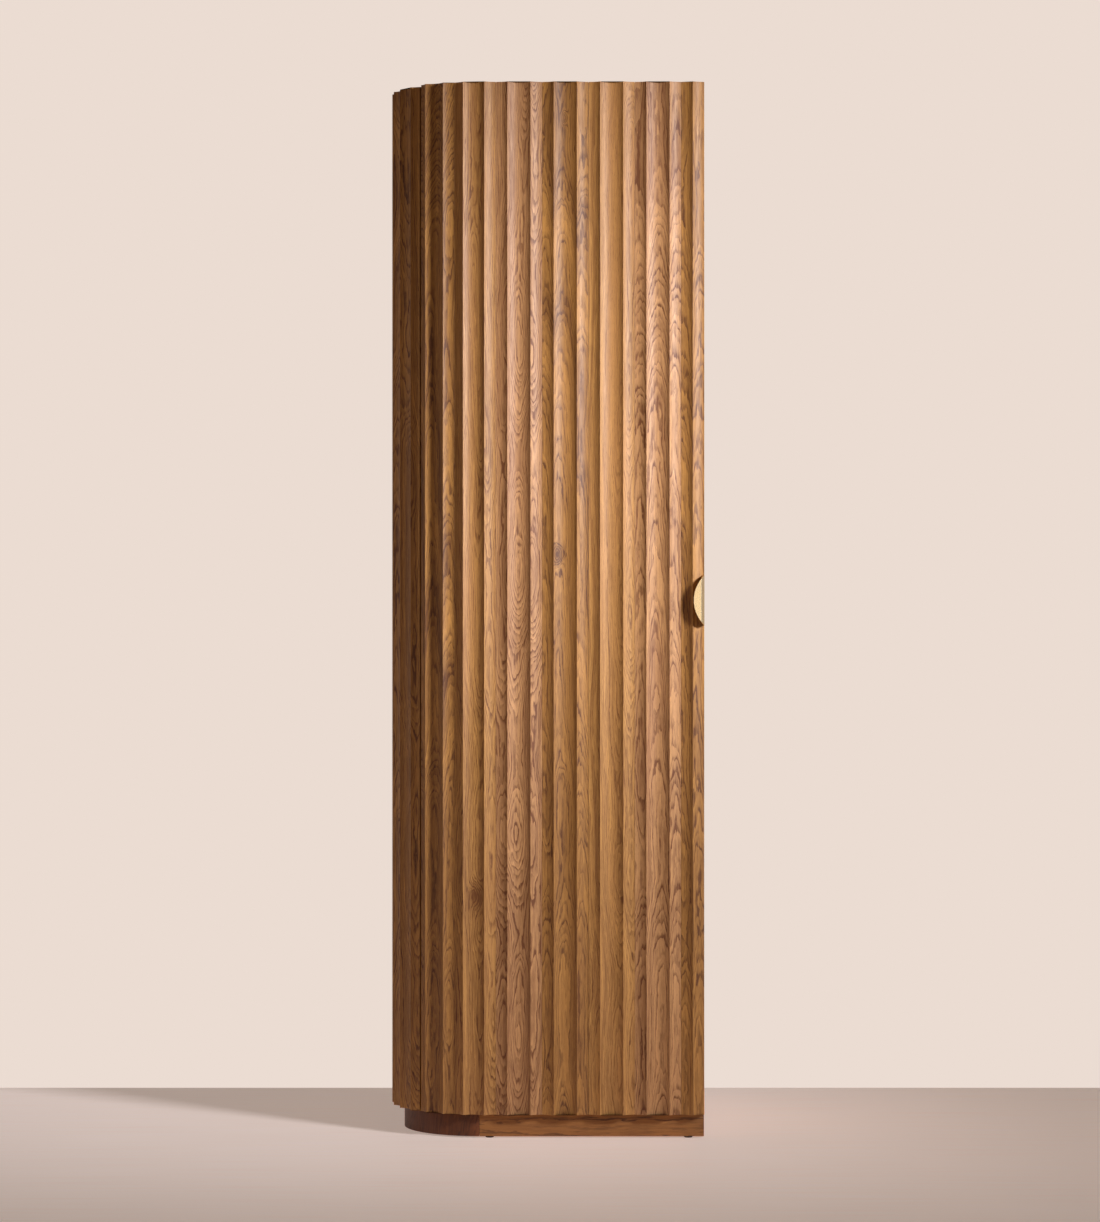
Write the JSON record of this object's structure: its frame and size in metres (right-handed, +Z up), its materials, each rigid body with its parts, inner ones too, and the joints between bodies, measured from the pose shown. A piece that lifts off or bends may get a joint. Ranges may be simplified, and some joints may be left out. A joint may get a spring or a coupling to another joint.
{
  "type": "pantry cabinet",
  "caption": "Tall narrow pantry cabinet with a fluted oak door that wraps round its left front corner, a half-moon brass edge pull, inner shelves and a recessed plinth.",
  "frame": {"origin": "on the floor under the middle of the overall box, with the door closed", "axes": "+X to the right of someone facing the door, -Y out of the front, +Z up"},
  "size_m": [0.61, 0.624, 2.042],
  "materials": {
    "oiled_oak": "solid oak, stained warm brown and oiled, satin",
    "oak_veneer": "oak veneer on plywood, oiled, satin",
    "dark_oak": "oak stained dark brown, satin",
    "polished_brass": "pale polished brass",
    "zinc_plated_steel": "bright zinc plate",
    "black_plastic": "moulded, matte"
  },
  "bodies": {
    "carcass": {"side_stave_1": "oiled_oak", "side_stave_2": "oiled_oak", "side_stave_3": "oiled_oak", "side_stave_4": "oiled_oak", "side_stave_5": "oiled_oak", "side_stave_6": "oiled_oak", "side_stave_7": "oiled_oak", "side_core": "oak_veneer", "hinge_post": "oiled_oak", "hinge_1_bracket": "zinc_plated_steel", "hinge_2_bracket": "zinc_plated_steel", "hinge_3_bracket": "zinc_plated_steel", "top_panel": "oak_veneer", "bottom_panel": "oak_veneer", "right_side_panel": "oak_veneer", "back_panel": "oak_veneer", "shelf_1": "oak_veneer", "shelf_1_left_cleat": "oiled_oak", "shelf_1_right_cleat": "oiled_oak", "shelf_2": "oak_veneer", "shelf_2_left_cleat": "oiled_oak", "shelf_2_right_cleat": "oiled_oak", "shelf_3": "oak_veneer", "shelf_3_left_cleat": "oiled_oak", "shelf_3_right_cleat": "oiled_oak", "shelf_4": "oak_veneer", "shelf_4_left_cleat": "oiled_oak", "shelf_4_right_cleat": "oiled_oak", "plinth_front": "oiled_oak", "plinth_corner": "dark_oak", "plinth_left": "dark_oak", "plinth_right": "oiled_oak", "plinth_back": "dark_oak", "glide_1": "black_plastic", "glide_2": "black_plastic", "glide_3": "black_plastic", "glide_4": "black_plastic", "magnetic_catch_top": "black_plastic", "magnetic_catch_bottom": "black_plastic"},
    "door": {"door_stave_1": "oiled_oak", "door_stave_2": "oiled_oak", "door_stave_3": "oiled_oak", "door_stave_4": "oiled_oak", "door_stave_5": "oiled_oak", "door_stave_6": "oiled_oak", "door_stave_7": "oiled_oak", "door_core": "oak_veneer", "pull": "polished_brass", "pull_screw_1": "polished_brass", "pull_screw_2": "polished_brass", "hinge_1_door_block": "zinc_plated_steel", "hinge_1_pin": "zinc_plated_steel", "hinge_2_door_block": "zinc_plated_steel", "hinge_2_pin": "zinc_plated_steel", "hinge_3_door_block": "zinc_plated_steel", "hinge_3_pin": "zinc_plated_steel", "strike_plate_top": "zinc_plated_steel", "strike_plate_bottom": "zinc_plated_steel"}
  },
  "joints": [
    {"name": "door_hinge", "type": "hinge", "parent": "carcass", "child": "door", "pos_m": [-0.23451, -0.24165, 0], "axis": [0, 0, -1], "range_deg": [0, 100]}
  ]
}
